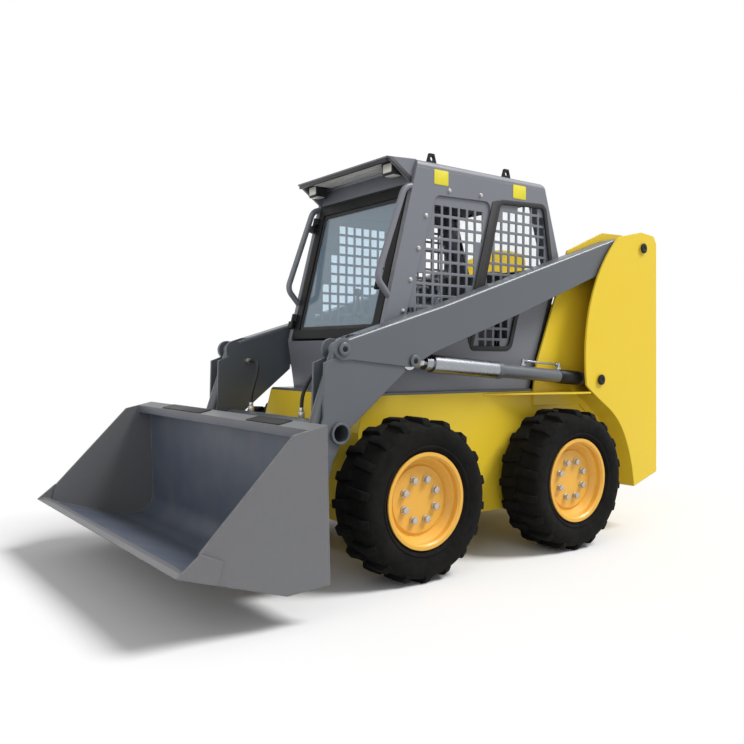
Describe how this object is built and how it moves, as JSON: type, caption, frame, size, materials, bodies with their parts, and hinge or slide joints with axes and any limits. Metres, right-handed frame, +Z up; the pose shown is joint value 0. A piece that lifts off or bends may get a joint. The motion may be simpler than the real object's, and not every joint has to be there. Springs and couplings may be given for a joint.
{
  "type": "skid steer loader",
  "caption": "Compact wheeled loader with a screened cab, lift arms pivoted on rear towers, a wide tilting bucket, hydraulic cylinders, a glazed front door and a hinged engine door.",
  "frame": {"origin": "on the ground under the middle of the machine's length and width", "axes": "+X forward toward the bucket, +Y to the operator's left, +Z up"},
  "size_m": [3.26, 1.829, 2.057],
  "materials": {
    "yellow_paint": "gloss enamel",
    "dark_grey_paint": "satin enamel",
    "black_paint": "satin enamel",
    "bucket_paint": "satin enamel",
    "wear_steel": "worn steel",
    "rim_paint": "gloss enamel",
    "tyre_rubber": "moulded rubber",
    "bright_tube": "polished tube",
    "rod_chrome": "hard chrome",
    "window_glass": "tinted glass",
    "lamp_plastic": "clear lens in a black case",
    "tail_lens": "red lens",
    "seat_cover": "vinyl cover",
    "console_plastic": "textured",
    "engine_iron": "painted casting"
  },
  "bodies": {
    "chassis": {"chassis_tub": "yellow_paint", "tower_left": "yellow_paint", "tower_right": "yellow_paint", "rear_fenders": "yellow_paint", "axle_housings": "black_paint", "engine_block": "engine_iron", "engine_hood": "yellow_paint", "rear_beam": "yellow_paint", "tail_lamps": "tail_lens", "cab_side_left": "dark_grey_paint", "cab_side_right": "dark_grey_paint", "side_screens": "black_paint", "cab_roof": "dark_grey_paint", "cab_rear_wall": "dark_grey_paint", "rear_window": "window_glass", "cab_floor": "dark_grey_paint", "cab_front_panel": "dark_grey_paint", "cab_door_hinges": "black_paint", "visor": "black_paint", "work_lamps": "lamp_plastic", "grab_rails": "black_paint", "lifting_eyes": "black_paint", "seat_base": "console_plastic", "seat_cushion": "seat_cover", "seat_backrest": "seat_cover", "consoles": "console_plastic", "levers": "console_plastic", "rear_door_hinges": "black_paint"},
    "loader_arm": {"arm_left": "dark_grey_paint", "arm_right": "dark_grey_paint", "arm_cross_tube": "dark_grey_paint"},
    "bucket_assembly": {"bucket_shell": "bucket_paint", "cutting_edge": "wear_steel", "coupler": "dark_grey_paint"},
    "wheel_front_left": {"tyre_front_left": "tyre_rubber", "rim_front_left": "rim_paint"},
    "wheel_front_right": {"tyre_front_right": "tyre_rubber", "rim_front_right": "rim_paint"},
    "wheel_rear_left": {"tyre_rear_left": "tyre_rubber", "rim_rear_left": "rim_paint"},
    "wheel_rear_right": {"tyre_rear_right": "tyre_rubber", "rim_rear_right": "rim_paint"},
    "lift_cylinders": {"lift_barrels": "dark_grey_paint", "lift_tubes": "bright_tube"},
    "lift_pistons": {"lift_rods": "rod_chrome"},
    "tilt_cylinders": {"tilt_barrels": "dark_grey_paint"},
    "tilt_pistons": {"tilt_rods": "rod_chrome"},
    "front_door": {"cab_door": "black_paint", "cab_door_glass": "window_glass"},
    "engine_door": {"rear_door": "yellow_paint"}
  },
  "joints": [
    {"name": "arm_lift", "type": "hinge", "parent": "chassis", "child": "loader_arm", "pos_m": [-1.429, 0, 1.681], "axis": [0, -1, 0], "range_deg": [-1.6, 60]},
    {"name": "bucket_tilt", "type": "hinge", "parent": "loader_arm", "child": "bucket_assembly", "pos_m": [0.93, 0, 0.227], "axis": [0, 1, 0], "range_deg": [-6, 116]},
    {"name": "lift_barrel_swing", "type": "hinge", "parent": "chassis", "child": "lift_cylinders", "pos_m": [-1.042, 0, 0.903], "axis": [0, -1, 0], "range_deg": [-1.58, 58.89]},
    {"name": "lift_rod_slide", "type": "slide", "parent": "lift_cylinders", "child": "lift_pistons", "axis": [0.9971, 0, 0.0764], "range_m": [-0.02335, 0.87188]},
    {"name": "tilt_barrel_swing", "type": "hinge", "parent": "loader_arm", "child": "tilt_cylinders", "pos_m": [0.717, 0, 1.059], "axis": [0, -1, 0], "range_deg": [-0.39, 7.3]},
    {"name": "tilt_rod_slide", "type": "slide", "parent": "tilt_cylinders", "child": "tilt_pistons", "axis": [0.3212, 0, -0.947], "range_m": [-0.01534, 0.29476]},
    {"name": "front_door_swing", "type": "hinge", "parent": "chassis", "child": "front_door", "pos_m": [0.31838, -0.396, 1.50348], "axis": [0.2488, 0, -0.9686], "range_deg": [0, 90]},
    {"name": "engine_door_swing", "type": "hinge", "parent": "chassis", "child": "engine_door", "pos_m": [-1.616, -0.441, 0.85], "axis": [0, 0, 1], "range_deg": [0, 100]},
    {"name": "wheel_front_left_spin", "type": "hinge", "parent": "chassis", "child": "wheel_front_left", "pos_m": [0.36, 0.613, 0.375], "axis": [0, 1, 0], "continuous": true},
    {"name": "wheel_front_right_spin", "type": "hinge", "parent": "chassis", "child": "wheel_front_right", "pos_m": [0.36, -0.613, 0.375], "axis": [0, 1, 0], "continuous": true},
    {"name": "wheel_rear_left_spin", "type": "hinge", "parent": "chassis", "child": "wheel_rear_left", "pos_m": [-0.7, 0.613, 0.375], "axis": [0, 1, 0], "continuous": true},
    {"name": "wheel_rear_right_spin", "type": "hinge", "parent": "chassis", "child": "wheel_rear_right", "pos_m": [-0.7, -0.613, 0.375], "axis": [0, 1, 0], "continuous": true}
  ],
  "couplings": [
    {"joint": "lift_barrel_swing", "follows": "arm_lift", "ratio": 0.98129},
    {"joint": "lift_rod_slide", "follows": "arm_lift", "m_per_rad": 0.83249},
    {"joint": "tilt_barrel_swing", "follows": "bucket_tilt", "ratio": 0.06282},
    {"joint": "tilt_rod_slide", "follows": "bucket_tilt", "m_per_rad": 0.14554}
  ]
}
